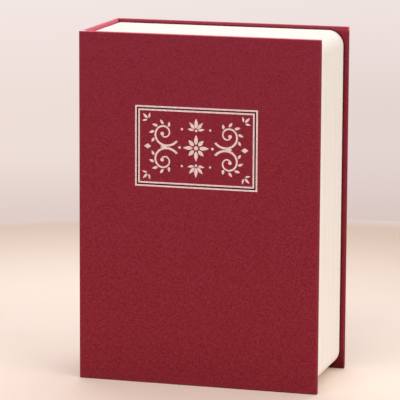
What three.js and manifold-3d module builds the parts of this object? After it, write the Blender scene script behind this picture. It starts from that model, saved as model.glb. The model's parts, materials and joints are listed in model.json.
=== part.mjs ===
// Book diversion safe: a cloth hardback whose moulded page block hides a steel box with a locked door.
// Millimetres. The book stands on its tail edges with +Z up. The front cover faces -Y, the spine is
// at -X and the fore-edge at +X. The origin lies on the floor under the middle of the book.

import * as THREE from 'three';
import { mergeVertices } from 'three/addons/utils/BufferGeometryUtils.js';
import { RoundedBoxGeometry } from 'three/addons/geometries/RoundedBoxGeometry.js';
import Module from 'manifold-3d';

const wasm = await Module();
wasm.setup();

// Driving dimensions

// Whole book
const bookWidth = 126;
const bookHeight = 180;
const bookDepth = 62;

// Case: greyboards, the cloth round them and the paper pasted inside
const boardThickness = 1.7;
const clothThickness = 0.35;
const paperThickness = 0.2;
const clothEdgeRadius = 0.6;
const turnInWidth = 14;
const paperMargin = 3;
const jointGap = 0.8;
const jointRelief = 0.2;

// Page block: one hollow moulding whose outside imitates the edges of the pages
const foreSquare = 2.5;
const headSquare = 1.9;
const coverClearance = 0.3;
const spineClearance = 0.5;
const pageCornerRadius = 8;
const footHeight = 0.6;
const footDepth = 0.8;
const footSlope = 0.15;
const footPaperInset = 1.4;
const leafCount = 36;
const leafGroove = 0.3;
const leafBand = 0.8;
const blockWall = 1.8;
const blockRim = 2;
const skirtWall = 1.4;
const ribThickness = 1.2;
const ribSetback = 3;
const longRibCount = 5;
const bossWidth = 8;

// Steel tray let into the block
const traySpineMargin = 5.9;
const trayForeMargin = 9.5;
const trayHeadMargin = 9.1;
const traySheet = 1;
const trayBend = 2;
const trayClearance = 0.3;
const trayRimDrop = 1;
const weldGap = 0.05;

// Door and the stop that it closes on
const doorSheet = 1.2;
const doorDrop = 2.4;
const doorGap = 0.6;
const doorFlangeDepth = 4;
const doorCornerRadius = 1.4;
const doorBend = 0.6;
const stopSheet = 1;
const stopFlange = 5;
const stopLeg = 6;
const stopGap = 0.3;
const stopSpineInset = 3;

// Hinges: rolled knuckles on a pin
const hingePinRadius = 0.8;
const pinClearance = 0.08;
const leafSheet = 0.8;
const hingeHeight = 28;
const hingeInset = 24;
const knuckleGap = 0.3;
const knuckleRelief = 0.3;
const doorLeafWidth = 14;
const boxLeafWidth = 12;
const pinHeadRadius = 1.3;
const pinHeadHeight = 0.5;
const doorHingeGap = 0.4;
const wallKnuckleGap = 0.5;

// Rivets and screws
const rivetRadius = 1.1;
const rivetHeadRadius = 2;
const rivetHeadHeight = 0.8;
const rivetTailRadius = 1.7;
const rivetTailHeight = 0.5;
const rivetClearance = 0.15;
const rivetSpread = 8;
const rivetEdge = 4;
const screwRadius = 1.5;
const screwHeadRadius = 3;
const screwHeadHeight = 1.3;
const screwHeadRound = 0.7;
const screwLength = 6;
const screwSpread = 62;
const screwDepth = 36;
const driverSlotWidth = 0.8;
const driverSlotDepth = 0.7;
const driverSlotLength = 3.6;

// Cam lock
const lockInset = 22;
const bezelRadius = 9.5;
const bezelThickness = 1.6;
const bezelChamfer = 0.6;
const lockBodyRadius = 8;
const lockBodyLength = 13.6;
const lockFlat = 7;
const lockHoleClearance = 0.15;
const plugRadius = 5.2;
const plugHeadRadius = 6;
const plugHeadDepth = 1.4;
const plugClearance = 0.09;
const plugRecess = 0.2;
const keywayWidth = 1.9;
const keywayHeight = 7.2;
const keywayDepth = 11;
const washerThickness = 0.8;
const washerRadius = 10.6;
const nutThickness = 3;
const nutAcrossFlats = 20;
const shankSize = 6;
const camThickness = 1.5;
const camTipGap = 1.8;
const camRootRadius = 6.2;
const camTipWidth = 8;
const camClearance = 0.3;
const camWasherRadius = 4;
const camWasherThickness = 0.6;
const camScrewLength = 5;

// Strike that the cam turns behind
const strikeSheet = 1.2;
const strikeReach = 7;
const strikeHeight = 22;
const strikeLeg = 9;
const strikeChamfer = 2;
const strikeRivetInset = 5;

// Facets
const cornerSteps = 8;
const smallRound = 16;
const knuckleRound = 24;
const lockRound = 40;
const edgeRound = 2;
const domeSteps = 3;

// How far a cutter runs past the face that it cuts through
const through = 1;

// Vertices closer than this are one vertex
const mergeTolerance = 1e-4;

// Planes worked out from the sizes above

const wrapThickness = boardThickness + 2 * clothThickness;
const coverThickness = wrapThickness + paperThickness;

// The cloth's rounding stays outside the square edges of the board that it covers
const clothEdge = Math.min(clothEdgeRadius, 3 * clothThickness, wrapThickness / 2);

const spineX = -bookWidth / 2;
const foreX = bookWidth / 2;
const frontY = -bookDepth / 2;
const backY = bookDepth / 2;
const middleZ = bookHeight / 2;

const coverInnerY = frontY + coverThickness;
const jointY = coverInnerY + jointGap / 2;
const spineFrontY = coverInnerY + jointGap;
const blockFrontY = coverInnerY + coverClearance;
const blockBackY = backY - coverThickness;
const spineBackY = blockBackY - jointGap;

const blockRect = {
  left: spineX + coverThickness + spineClearance,
  right: foreX - foreSquare,
  tail: headSquare,
  head: bookHeight - headSquare,
};
const trayRect = {
  left: blockRect.left + traySpineMargin,
  right: blockRect.right - trayForeMargin,
  tail: blockRect.tail + trayHeadMargin,
  head: blockRect.head - trayHeadMargin,
};
const trayInner = inset(trayRect, traySheet);
const trayMiddleX = (trayRect.left + trayRect.right) / 2;
const trayFrontY = blockFrontY + trayRimDrop;
const trayFloorY = blockBackY - traySheet;

const doorFrontY = blockFrontY + doorDrop;
const doorBackY = doorFrontY + doorSheet;
const stopFrontY = doorFrontY + doorFlangeDepth + stopGap;

const knuckleBore = hingePinRadius + pinClearance;
const knuckleRadius = knuckleBore + leafSheet;
const hingeX = trayInner.left + knuckleRadius;
const hingeY = doorBackY + leafSheet - knuckleRadius;
const knuckleHeight = (hingeHeight - 2 * knuckleGap) / 3;
const hingeZ = {
  lower: trayInner.tail + hingeInset + hingeHeight / 2,
  upper: trayInner.head - hingeInset - hingeHeight / 2,
};
const doorRect = {
  left: hingeX + knuckleRadius + doorHingeGap,
  right: trayInner.right - doorGap,
  tail: trayInner.tail + doorGap,
  head: trayInner.head - doorGap,
};

const screwColumns = [trayMiddleX - screwSpread / 2, trayMiddleX + screwSpread / 2];
const screwY = blockFrontY + screwDepth;
const screwHole = screwRadius + rivetClearance;
const rivetHole = rivetRadius + rivetClearance;

const lockX = trayInner.right - lockInset;
const bezelBackY = doorFrontY - weldGap;
const bezelFrontY = bezelBackY - bezelThickness;
const lockEndY = bezelBackY + lockBodyLength;
const lockHole = lockBodyRadius + lockHoleClearance;
const camFrontY = lockEndY + camClearance;
const camBackY = camFrontY + camThickness;
const camScrewHeadY = camBackY + weldGap + camWasherThickness + weldGap;
const strikeBackY = camFrontY - camClearance;
const strikeFrontY = strikeBackY - strikeSheet;
const camLength = lockInset - strikeSheet - camTipGap;

// Solids: joining and cutting of closed three.js geometries

function solid(geometry) {
  const bare = geometry.clone();
  bare.deleteAttribute('normal');
  bare.deleteAttribute('uv');
  const merged = mergeVertices(bare, mergeTolerance);
  const index = merged.index.array;
  const triangles = [];
  for (let i = 0; i < index.length; i += 3) {
    const [a, b, c] = [index[i], index[i + 1], index[i + 2]];
    if (a !== b && b !== c && c !== a) {
      triangles.push(a, b, c);
    }
  }
  const mesh = new wasm.Mesh({
    numProp: 3,
    vertProperties: Float32Array.from(merged.attributes.position.array),
    triVerts: Uint32Array.from(triangles),
  });
  return new wasm.Manifold(mesh);
}

function toGeometry(body) {
  const mesh = body.getMesh();
  const geometry = new THREE.BufferGeometry();
  geometry.setAttribute('position', new THREE.BufferAttribute(mesh.vertProperties, 3));
  geometry.setIndex(new THREE.BufferAttribute(mesh.triVerts, 1));
  geometry.computeVertexNormals();
  return geometry;
}

function joined(bodies) {
  return bodies.reduce((whole, body) => whole.add(body));
}

function cut(body, cutters) {
  return cutters.reduce((rest, cutter) => rest.subtract(cutter), body);
}

// Outlines are drawn in X and Z, as the book is seen from the front

function inset(rect, amount) {
  return {
    left: rect.left + amount,
    right: rect.right - amount,
    tail: rect.tail + amount,
    head: rect.head - amount,
  };
}

function cornerArc(x, z, radius, start) {
  if (radius <= 0) {
    return [new THREE.Vector2(x, z)];
  }
  const points = [];
  for (let i = 0; i <= cornerSteps; i += 1) {
    const angle = start + (i / cornerSteps) * (Math.PI / 2);
    points.push(new THREE.Vector2(x + radius * Math.cos(angle), z + radius * Math.sin(angle)));
  }
  return points;
}

function roundedOutline(rect, spineRadius, foreRadius) {
  const s = Math.max(spineRadius, 0);
  const f = Math.max(foreRadius, 0);
  return [
    ...cornerArc(rect.left + s, rect.tail + s, s, Math.PI),
    ...cornerArc(rect.right - f, rect.tail + f, f, -Math.PI / 2),
    ...cornerArc(rect.right - f, rect.head - f, f, 0),
    ...cornerArc(rect.left + s, rect.head - s, s, Math.PI / 2),
  ];
}

function circle(x, z, radius, segments, turn = 0) {
  const points = [];
  for (let i = 0; i < segments; i += 1) {
    const angle = turn + (i / segments) * 2 * Math.PI;
    points.push(new THREE.Vector2(x + radius * Math.cos(angle), z + radius * Math.sin(angle)));
  }
  return points;
}

// A flat plate of an outline, from y0 back to y1
function plate(points, y0, y1, holes = []) {
  const shape = new THREE.Shape(points);
  shape.holes = holes.map((hole) => new THREE.Path(hole));
  const geometry = new THREE.ExtrudeGeometry(shape, { depth: y1 - y0, bevelEnabled: false });
  geometry.rotateX(Math.PI / 2);
  geometry.translate(0, y1, 0);
  return solid(geometry);
}

// A prism of an outline drawn in X and Y, from z0 up to z1
function prism(points, z0, z1, holes = []) {
  const shape = new THREE.Shape(points);
  shape.holes = holes.map((hole) => new THREE.Path(hole));
  const geometry = new THREE.ExtrudeGeometry(shape, { depth: z1 - z0, bevelEnabled: false });
  geometry.translate(0, 0, z0);
  return solid(geometry);
}

function block(x0, x1, y0, y1, z0, z1) {
  const geometry = new THREE.BoxGeometry(x1 - x0, y1 - y0, z1 - z0);
  geometry.translate((x0 + x1) / 2, (y0 + y1) / 2, (z0 + z1) / 2);
  return solid(geometry);
}

function softBlock(x0, x1, y0, y1, z0, z1, radius) {
  const geometry = new RoundedBoxGeometry(x1 - x0, y1 - y0, z1 - z0, edgeRound, radius);
  geometry.translate((x0 + x1) / 2, (y0 + y1) / 2, (z0 + z1) / 2);
  return solid(geometry);
}

// A turned piece: its profile runs from the axis out and back, along local +Y
function turned(profile, segments) {
  const points = profile.map(([radius, y]) => new THREE.Vector2(radius, y));
  return new THREE.LatheGeometry(points, segments);
}

// A ring of points at one depth of the page block
function leafRing(y, depth) {
  const rect = { ...inset(blockRect, depth), left: blockRect.left };
  const outline = roundedOutline(rect, 0, pageCornerRadius - depth);
  return outline.map((point) => new THREE.Vector3(point.x, y, point.y));
}

// A closed skin through rings that have the same number of points, with flat ends
function loft(rings) {
  const count = rings[0].length;
  const index = [];
  for (let r = 0; r + 1 < rings.length; r += 1) {
    for (let i = 0; i < count; i += 1) {
      const a = r * count + i;
      const b = r * count + ((i + 1) % count);
      index.push(a, b, a + count, b, b + count, a + count);
    }
  }
  const flat = rings[0].map((point) => new THREE.Vector2(point.x, point.z));
  const last = (rings.length - 1) * count;
  for (const [a, b, c] of THREE.ShapeUtils.triangulateShape(flat, [])) {
    index.push(a, c, b, last + a, last + b, last + c);
  }
  const geometry = new THREE.BufferGeometry().setFromPoints(rings.flat());
  geometry.setIndex(index.reverse());
  return geometry;
}

// Case: both covers are made alike, from the outer face inward

const frontCover = { outerY: frontY, inward: 1, left: spineX + jointRelief };
const backCover = { outerY: backY, inward: -1, left: spineX };

// The two Y planes of a layer that starts a given way in from the outer face
function layer(cover, start, thickness) {
  const a = cover.outerY + cover.inward * start;
  const b = a + cover.inward * thickness;
  return [Math.min(a, b), Math.max(a, b)];
}

function coverBoard(cover) {
  const [y0, y1] = layer(cover, clothThickness, boardThickness);
  const low = clothThickness;
  return block(cover.left + low, foreX - low, y0, y1, low, bookHeight - low);
}

// The opening that the turned-in cloth leaves on the inner side of a board
function coverWindow(cover, depth) {
  const [y0, y1] = layer(cover, clothThickness + boardThickness, depth);
  const left = cover.left + clothThickness;
  return block(left, foreX - turnInWidth, y0, y1, turnInWidth, bookHeight - turnInWidth);
}

function coverCloth(cover) {
  const [y0, y1] = layer(cover, 0, wrapThickness);
  const wrap = softBlock(cover.left, foreX, y0, y1, 0, bookHeight, clothEdge);
  return cut(wrap, [coverBoard(cover), coverWindow(cover, clothThickness + through)]);
}

// The paper inside a cover, with square or round corners at the fore-edge
function coverPaper(cover, rect, radius) {
  const [y0, y1] = layer(cover, wrapThickness, paperThickness);
  const outline = { ...rect, left: cover.left + clothThickness };
  const sheet = plate(roundedOutline(outline, 0, radius), y0, y1);
  return sheet.add(coverWindow(cover, clothThickness));
}

function frontPastedown() {
  const rect = {
    right: foreX - paperMargin,
    tail: paperMargin,
    head: bookHeight - paperMargin,
  };
  return coverPaper(frontCover, rect, 0);
}

// The paper at the back ends under the page block, so none shows beside it
function backPastedown() {
  return coverPaper(backCover, inset(blockRect, footPaperInset), pageCornerRadius - footPaperInset);
}

const spineBoardX = spineX + clothThickness;
const spineBoardInnerX = spineBoardX + boardThickness;

function spineBoard() {
  const y0 = spineFrontY + clothThickness;
  const y1 = spineBackY - clothThickness;
  const z0 = clothThickness;
  return block(spineBoardX, spineBoardInnerX, y0, y1, z0, bookHeight - z0);
}

function spineWindow(depth) {
  const y0 = spineFrontY + clothThickness;
  const y1 = spineBackY - clothThickness;
  const x1 = spineBoardInnerX + depth;
  return block(spineBoardInnerX, x1, y0, y1, turnInWidth, bookHeight - turnInWidth);
}

// One piece of cloth covers the back cover and the spine and runs on to the front joint
function caseCloth() {
  const x1 = spineX + wrapThickness;
  const wrap = softBlock(spineX, x1, spineFrontY, spineBackY, 0, bookHeight, clothEdge);
  const spineCloth = cut(wrap, [spineBoard(), spineWindow(clothThickness + through)]);
  const seamBackY = blockBackY + paperThickness + clothEdge;
  const z0 = clothEdge;
  const z1 = bookHeight - clothEdge;
  const backSeam = block(spineX, spineBoardX, spineBackY - clothEdge, seamBackY, z0, z1);
  const frontSeam = block(spineX, spineBoardX, jointY, spineFrontY + clothEdge, z0, z1);
  return joined([coverCloth(backCover), spineCloth, backSeam, frontSeam]);
}

function spineLining() {
  const x0 = spineX + wrapThickness;
  const y0 = spineFrontY + clothThickness;
  const y1 = spineBackY - clothThickness;
  const sheet = block(x0, x0 + paperThickness, y0, y1, paperMargin, bookHeight - paperMargin);
  return sheet.add(spineWindow(clothThickness));
}

// Page block

const windowRect = inset(trayRect, -trayClearance);
const skirtRect = inset(windowRect, -skirtWall);
const wallInset = leafGroove + blockWall;
const pocketRect = { ...inset(blockRect, wallInset), left: blockRect.left + blockWall };

// The page edges: ridges that run round head, fore-edge and tail, and a flat side at the spine.
// A small step at the back keeps them clear of the back cover.
function leafBlock() {
  const first = blockFrontY + leafBand;
  const footY = blockBackY - footHeight;
  const pitch = (footY - leafBand - first) / leafCount;
  const rings = [leafRing(blockFrontY, 0)];
  for (let i = 0; i < leafCount; i += 1) {
    rings.push(leafRing(first + i * pitch, leafGroove));
    rings.push(leafRing(first + (i + 0.5) * pitch, 0));
  }
  rings.push(leafRing(footY - leafBand, leafGroove));
  rings.push(leafRing(footY, 0));
  rings.push(leafRing(footY + footSlope, footDepth));
  rings.push(leafRing(blockBackY, footDepth));
  return solid(loft(rings));
}

function spread(low, high, count, index) {
  return low + ((high - low) * (index + 0.5)) / count;
}

// Short ribs cross the head and tail walls in the middle and through the screw bosses
function blockRibs() {
  const y0 = blockFrontY + blockRim / 2;
  const y1 = blockBackY - ribSetback;
  const half = ribThickness / 2;
  const rim = blockWall / 2;
  const bite = skirtWall / 2;
  const ribs = [];
  for (const x of [trayMiddleX, ...screwColumns]) {
    ribs.push(block(x - half, x + half, y0, y1, pocketRect.tail - rim, skirtRect.tail + bite));
    ribs.push(block(x - half, x + half, y0, y1, skirtRect.head - bite, pocketRect.head + rim));
  }
  for (let i = 0; i < longRibCount; i += 1) {
    const z = spread(skirtRect.tail, skirtRect.head, longRibCount, i);
    ribs.push(block(pocketRect.left - rim, skirtRect.left + bite, y0, y1, z - half, z + half));
    ribs.push(block(skirtRect.right - bite, pocketRect.right + rim, y0, y1, z - half, z + half));
  }
  return ribs;
}

// The four screws that hold the tray, two in its head wall and two in its tail wall
const traySeats = [
  { name: 'tail_spine', x: screwColumns[0], wallZ: trayInner.tail, up: -1 },
  { name: 'tail_fore', x: screwColumns[1], wallZ: trayInner.tail, up: -1 },
  { name: 'head_spine', x: screwColumns[0], wallZ: trayInner.head, up: 1 },
  { name: 'head_fore', x: screwColumns[1], wallZ: trayInner.head, up: 1 },
];

function blockBosses() {
  const half = bossWidth / 2;
  const y0 = screwY - half;
  const y1 = screwY + half;
  const rim = blockWall / 2;
  const bite = skirtWall / 2;
  return traySeats.map((seat) => {
    const z0 = seat.up > 0 ? skirtRect.head - bite : pocketRect.tail - rim;
    const z1 = seat.up > 0 ? pocketRect.head + rim : skirtRect.tail + bite;
    return block(seat.x - half, seat.x + half, y0, y1, z0, z1);
  });
}

function rod(radius, start, end, segments) {
  const geometry = new THREE.CylinderGeometry(radius, radius, end - start, segments);
  geometry.translate(0, (start + end) / 2, 0);
  return geometry;
}

// A round hole along Z that starts inside the tray and ends a given way into the block
function screwBore(seat, depth) {
  const geometry = rod(screwHole, -through, depth, smallRound);
  geometry.rotateX((seat.up * Math.PI) / 2);
  geometry.translate(seat.x, screwY, seat.wallZ);
  return solid(geometry);
}

function pageBlock() {
  const pocket = plate(
    roundedOutline(pocketRect, 0, pageCornerRadius - wallInset),
    blockFrontY + blockRim,
    blockBackY + through,
    [roundedOutline(skirtRect, trayBend + skirtWall, trayBend + skirtWall)],
  );
  const bend = trayBend + trayClearance;
  const windowCut = plate(
    roundedOutline(windowRect, bend, bend),
    blockFrontY - through,
    blockBackY + through,
  );
  const hollow = cut(leafBlock(), [pocket]);
  const ribbed = joined([hollow, ...blockRibs(), ...blockBosses()]);
  const bores = traySeats.map((seat) => screwBore(seat, screwLength + rivetClearance));
  return cut(ribbed, [windowCut, ...bores]);
}

// Steel tray

function trayShell() {
  const outer = plate(roundedOutline(trayRect, trayBend, trayBend), trayFrontY, blockBackY);
  const innerBend = trayBend - traySheet;
  const cavity = plate(
    roundedOutline(trayInner, innerBend, innerBend),
    trayFrontY - through,
    trayFloorY,
  );
  const hingeRelief = block(
    trayRect.left - through,
    trayRect.left + trayBend,
    trayFrontY - through,
    hingeY + knuckleRadius + wallKnuckleGap,
    trayRect.tail + 2 * trayBend,
    trayRect.head - 2 * trayBend,
  );
  const holes = [
    ...traySeats.map((seat) => screwBore(seat, traySheet + through)),
    ...leafRivetSeats.map((seat) => sideBore(trayRect.left, trayInner.left, seat)),
    ...strikeRivetSeats.map((seat) => sideBore(trayInner.right, trayRect.right, seat)),
  ];
  return cut(outer, [cavity, hingeRelief, ...holes]);
}

// A rivet hole along X through a wall that lies between two X planes
function sideBore(x0, x1, seat) {
  const geometry = rod(rivetHole, x0 - through, x1 + through, smallRound);
  geometry.rotateZ(-Math.PI / 2);
  geometry.translate(0, seat.y, seat.z);
  return solid(geometry);
}

// A rolled angle, open at the spine side, that the door's folded edges close on
function doorStop() {
  const outer = inset(trayInner, weldGap);
  outer.left = trayInner.left + stopSpineInset;
  const bend = Math.max(trayBend - traySheet, 0);
  const past = { left: outer.left - through };
  const band = plate(roundedOutline(outer, 0, bend), stopFrontY, stopFrontY + stopLeg);
  const mouth = { ...inset(outer, stopFlange), ...past };
  const bore = { ...inset(outer, stopSheet), ...past };
  const flangeBackY = stopFrontY + stopSheet;
  const legBackY = stopFrontY + stopLeg;
  return cut(band, [
    plate(roundedOutline(mouth, 0, bend), stopFrontY - through, flangeBackY + through),
    plate(roundedOutline(bore, 0, 0), flangeBackY, legBackY + through),
  ]);
}

// Hinges

const leafRivetSeats = ['lower', 'upper'].flatMap((level) => [
  { name: `${level}_1`, y: hingeY + boxLeafWidth - rivetEdge, z: hingeZ[level] - rivetSpread },
  { name: `${level}_2`, y: hingeY + boxLeafWidth - rivetEdge, z: hingeZ[level] + rivetSpread },
]);
const doorRivetSeats = ['lower', 'upper'].flatMap((level) => [
  { name: `${level}_1`, x: hingeX + doorLeafWidth - rivetEdge, z: hingeZ[level] - rivetSpread },
  { name: `${level}_2`, x: hingeX + doorLeafWidth - rivetEdge, z: hingeZ[level] + rivetSpread },
]);

function knuckle(z0, z1) {
  const ring = circle(hingeX, hingeY, knuckleRadius, knuckleRound);
  const bore = circle(hingeX, hingeY, knuckleBore, knuckleRound);
  return prism(ring, z0, z1, [bore]);
}

// The leaf on the tray wall: two end knuckles, each on its own neck
function boxLeaf(level) {
  const z0 = hingeZ[level] - hingeHeight / 2;
  const z1 = hingeZ[level] + hingeHeight / 2;
  const x0 = hingeX - knuckleRadius;
  const x1 = x0 + leafSheet;
  const plateY = hingeY + knuckleRadius + knuckleRelief;
  const leaf = block(x0, x1, plateY, hingeY + boxLeafWidth, z0, z1);
  const ends = [
    [z0, z0 + knuckleHeight],
    [z1 - knuckleHeight, z1],
  ];
  const curls = ends.flatMap(([a, b]) => [
    knuckle(a, b),
    block(x0, x1, hingeY, plateY + leafSheet, a, b).subtract(pinRoom(a, b)),
  ]);
  const holes = leafRivetSeats
    .filter((seat) => seat.name.startsWith(level))
    .map((seat) => sideBore(x0, x1, seat));
  return cut(joined([leaf, ...curls]), holes);
}

function pinRoom(z0, z1) {
  return prism(circle(hingeX, hingeY, knuckleBore, knuckleRound), z0 - through, z1 + through);
}

// A rivet hole along Y through a sheet that lies between two Y planes
function frontBore(y0, y1, seat) {
  const geometry = rod(rivetHole, y0 - through, y1 + through, smallRound);
  geometry.translate(seat.x, 0, seat.z);
  return solid(geometry);
}

// The leaf behind the door: one middle knuckle
function doorLeaf(level) {
  const z0 = hingeZ[level] - hingeHeight / 2;
  const z1 = hingeZ[level] + hingeHeight / 2;
  const a = z0 + knuckleHeight + knuckleGap;
  const b = z1 - knuckleHeight - knuckleGap;
  const y0 = doorBackY;
  const y1 = y0 + leafSheet;
  const plateX = hingeX + knuckleRadius + knuckleRelief;
  const leaf = block(plateX, hingeX + doorLeafWidth, y0, y1, z0, z1);
  const neck = block(hingeX, plateX + leafSheet, y0, y1, a, b).subtract(pinRoom(a, b));
  const holes = doorRivetSeats
    .filter((seat) => seat.name.startsWith(level))
    .map((seat) => frontBore(y0, y1, seat));
  return cut(joined([leaf, neck, knuckle(a, b)]), holes);
}

function hingePin(level) {
  const z0 = hingeZ[level] - hingeHeight / 2 - pinClearance;
  const z1 = hingeZ[level] + hingeHeight / 2 + pinClearance;
  const geometry = turned(
    [
      [0, z0 - pinHeadHeight],
      [pinHeadRadius - pinHeadHeight / 2, z0 - pinHeadHeight],
      [pinHeadRadius, z0],
      [hingePinRadius, z0],
      [hingePinRadius, z1],
      [pinHeadRadius, z1],
      [pinHeadRadius - pinHeadHeight / 2, z1 + pinHeadHeight],
      [0, z1 + pinHeadHeight],
    ],
    smallRound,
  );
  geometry.rotateX(Math.PI / 2);
  geometry.translate(hingeX, hingeY, 0);
  return geometry;
}

// Rivets and screws, drawn along local +Y with the head's seat at zero

// A domed head, a shank and a flat end; a tail spreads the end behind what it holds
function rivet(grip, tail) {
  const seat = -weldGap;
  const end = grip + (tail ? weldGap : -weldGap);
  const dome = [];
  for (let i = 0; i <= domeSteps; i += 1) {
    const angle = (i / domeSteps) * (Math.PI / 2);
    const radius = i === 0 ? 0 : rivetHeadRadius * Math.sin(angle);
    dome.push([radius, seat - rivetHeadHeight * Math.cos(angle)]);
  }
  dome.push([rivetRadius, seat], [rivetRadius, end]);
  const foot = [
    [rivetTailRadius, end],
    [rivetTailRadius - rivetTailHeight / 2, end + rivetTailHeight],
    [0, end + rivetTailHeight],
  ];
  return turned([...dome, ...(tail ? foot : [[0, end]])], smallRound);
}

function doorRivet(seat) {
  const geometry = rivet(doorSheet + leafSheet, true);
  geometry.translate(seat.x, doorFrontY, seat.z);
  return geometry;
}

function leafRivet(seat) {
  const geometry = rivet(leafSheet + traySheet, false);
  geometry.rotateZ(Math.PI / 2);
  geometry.translate(trayInner.left + leafSheet, seat.y, seat.z);
  return geometry;
}

function strikeRivet(seat) {
  const geometry = rivet(strikeSheet + traySheet, false);
  geometry.rotateZ(-Math.PI / 2);
  geometry.translate(trayInner.right - strikeSheet, seat.y, seat.z);
  return geometry;
}

// A pan-head screw with a cross in its head, drawn like a rivet
function screw(length) {
  const seat = -weldGap;
  const top = seat - screwHeadHeight;
  const body = solid(
    turned(
      [
        [0, top],
        [screwHeadRadius - screwHeadRound, top],
        [screwHeadRadius, top + screwHeadRound],
        [screwHeadRadius, seat],
        [screwRadius, seat],
        [screwRadius, length - screwRadius / 2],
        [screwRadius / 2, length],
        [0, length],
      ],
      smallRound,
    ),
  );
  const half = driverSlotWidth / 2;
  const arm = driverSlotLength / 2;
  const floor = top + driverSlotDepth;
  const cross = [
    block(-arm, arm, top - through, floor, -half, half),
    block(-half, half, top - through, floor, -arm, arm),
  ];
  return toGeometry(cut(body, cross));
}

function trayScrew(seat) {
  const geometry = screw(screwLength);
  geometry.rotateX((seat.up * Math.PI) / 2);
  geometry.translate(seat.x, screwY, seat.wallZ);
  return geometry;
}

// Door

// The round body of the lock has two flats, and so has its hole in the door
function flattenedRound(radius, flat, y0, y1) {
  const round = plate(circle(lockX, middleZ, radius, lockRound), y0, y1);
  const keep = block(lockX - flat, lockX + flat, y0, y1, middleZ - radius, middleZ + radius);
  return round.intersect(keep);
}

function doorPanel() {
  const endY = doorFrontY + doorFlangeDepth;
  const bend = Math.min(doorBend, doorSheet - weldGap);
  const outline = roundedOutline(inset(doorRect, bend), 0, doorCornerRadius - bend);
  const geometry = new THREE.ExtrudeGeometry(new THREE.Shape(outline), {
    depth: doorFlangeDepth,
    bevelThickness: bend,
    bevelSize: bend,
    bevelSegments: edgeRound,
  });
  geometry.rotateX(Math.PI / 2);
  geometry.translate(0, doorFrontY + bend + doorFlangeDepth, 0);
  const far = { left: doorRect.left - through, right: doorRect.right + through };
  const z0 = doorRect.tail - through;
  const z1 = doorRect.head + through;
  const backCut = block(far.left, far.right, endY, endY + doorFlangeDepth, z0, z1);
  const panRect = { ...inset(doorRect, doorSheet), left: doorRect.left - through };
  const panRadius = doorCornerRadius - doorSheet;
  const pan = plate(roundedOutline(panRect, 0, panRadius), doorBackY, endY + through);
  const flat = lockFlat + lockHoleClearance;
  const lockCut = flattenedRound(lockHole, flat, doorFrontY - through, doorBackY + through);
  const holes = doorRivetSeats.map((seat) => frontBore(doorFrontY, doorBackY, seat));
  return cut(solid(geometry), [backCut, pan, lockCut, ...holes]);
}

// Cam lock, on the axis through lockX and middleZ

function onLockAxis(geometry, y) {
  geometry.translate(lockX, y, middleZ);
  return geometry;
}

function lockBody() {
  const bore = plugRadius + plugClearance;
  const counterbore = plugHeadRadius + plugClearance;
  const seat = plugRecess + plugHeadDepth + plugClearance;
  const length = bezelThickness + lockBodyLength;
  const geometry = turned(
    [
      [counterbore, 0],
      [bezelRadius - bezelChamfer, 0],
      [bezelRadius, bezelChamfer],
      [bezelRadius, bezelThickness],
      [lockBodyRadius, bezelThickness],
      [lockBodyRadius, length],
      [bore, length],
      [bore, seat],
      [counterbore, seat],
      [counterbore, 0],
    ],
    lockRound,
  );
  const body = solid(onLockAxis(geometry, bezelFrontY));
  const side = lockBodyRadius + through;
  const z0 = middleZ - side;
  const z1 = middleZ + side;
  const y1 = lockEndY + through;
  return cut(body, [
    block(lockX - side, lockX - lockFlat, bezelBackY, y1, z0, z1),
    block(lockX + lockFlat, lockX + side, bezelBackY, y1, z0, z1),
  ]);
}

const washerFrontY = doorBackY + weldGap;
const nutFrontY = washerFrontY + washerThickness + weldGap;

function lockWasher() {
  const outer = circle(lockX, middleZ, washerRadius, lockRound);
  const bore = circle(lockX, middleZ, lockHole, lockRound);
  return plate(outer, washerFrontY, washerFrontY + washerThickness, [bore]);
}

function lockNut() {
  const cornerRadius = nutAcrossFlats / 2 / Math.cos(Math.PI / 6);
  const hexagon = circle(lockX, middleZ, cornerRadius, 6);
  const bore = circle(lockX, middleZ, lockHole, lockRound);
  return plate(hexagon, nutFrontY, nutFrontY + nutThickness, [bore]);
}

function lockPlug() {
  const headEnd = plugRecess + plugHeadDepth;
  const end = bezelThickness + lockBodyLength + camClearance - weldGap;
  const geometry = turned(
    [
      [0, plugRecess],
      [plugHeadRadius, plugRecess],
      [plugHeadRadius, headEnd],
      [plugRadius, headEnd],
      [plugRadius, end],
      [0, end],
    ],
    lockRound,
  );
  const barrel = solid(onLockAxis(geometry, bezelFrontY));
  const half = shankSize / 2;
  const x = lockX;
  const z = middleZ;
  const shankY = bezelFrontY + end - through;
  const shank = block(x - half, x + half, shankY, camBackY, z - half, z + half);
  const slotX = keywayWidth / 2;
  const slotZ = keywayHeight / 2;
  const y0 = bezelFrontY;
  const keyway = block(x - slotX, x + slotX, y0, y0 + keywayDepth, z - slotZ, z + slotZ);
  const ward = block(x, x + keywayWidth, y0, y0 + keywayDepth, z - slotX, z + slotX / 2);
  const threadStart = camBackY - camScrewLength;
  const hole = solid(onLockAxis(rod(screwHole, threadStart, camBackY + through, smallRound), 0));
  return cut(barrel.add(shank), [keyway, ward, hole]);
}

// The cam points up when the lock is open and turns to the fore-edge to lock
function lockCam() {
  const root = circle(lockX, middleZ, camRootRadius, lockRound);
  const half = camTipWidth / 2;
  const tip = roundedOutline(
    { left: lockX - half, right: lockX + half, tail: middleZ, head: middleZ + camLength },
    half / 2,
    half / 2,
  );
  const hole = shankSize / 2 + plugClearance;
  const square = block(
    lockX - hole,
    lockX + hole,
    camFrontY - through,
    camBackY + through,
    middleZ - hole,
    middleZ + hole,
  );
  const blade = plate(root, camFrontY, camBackY).add(plate(tip, camFrontY, camBackY));
  return blade.subtract(square);
}

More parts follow.
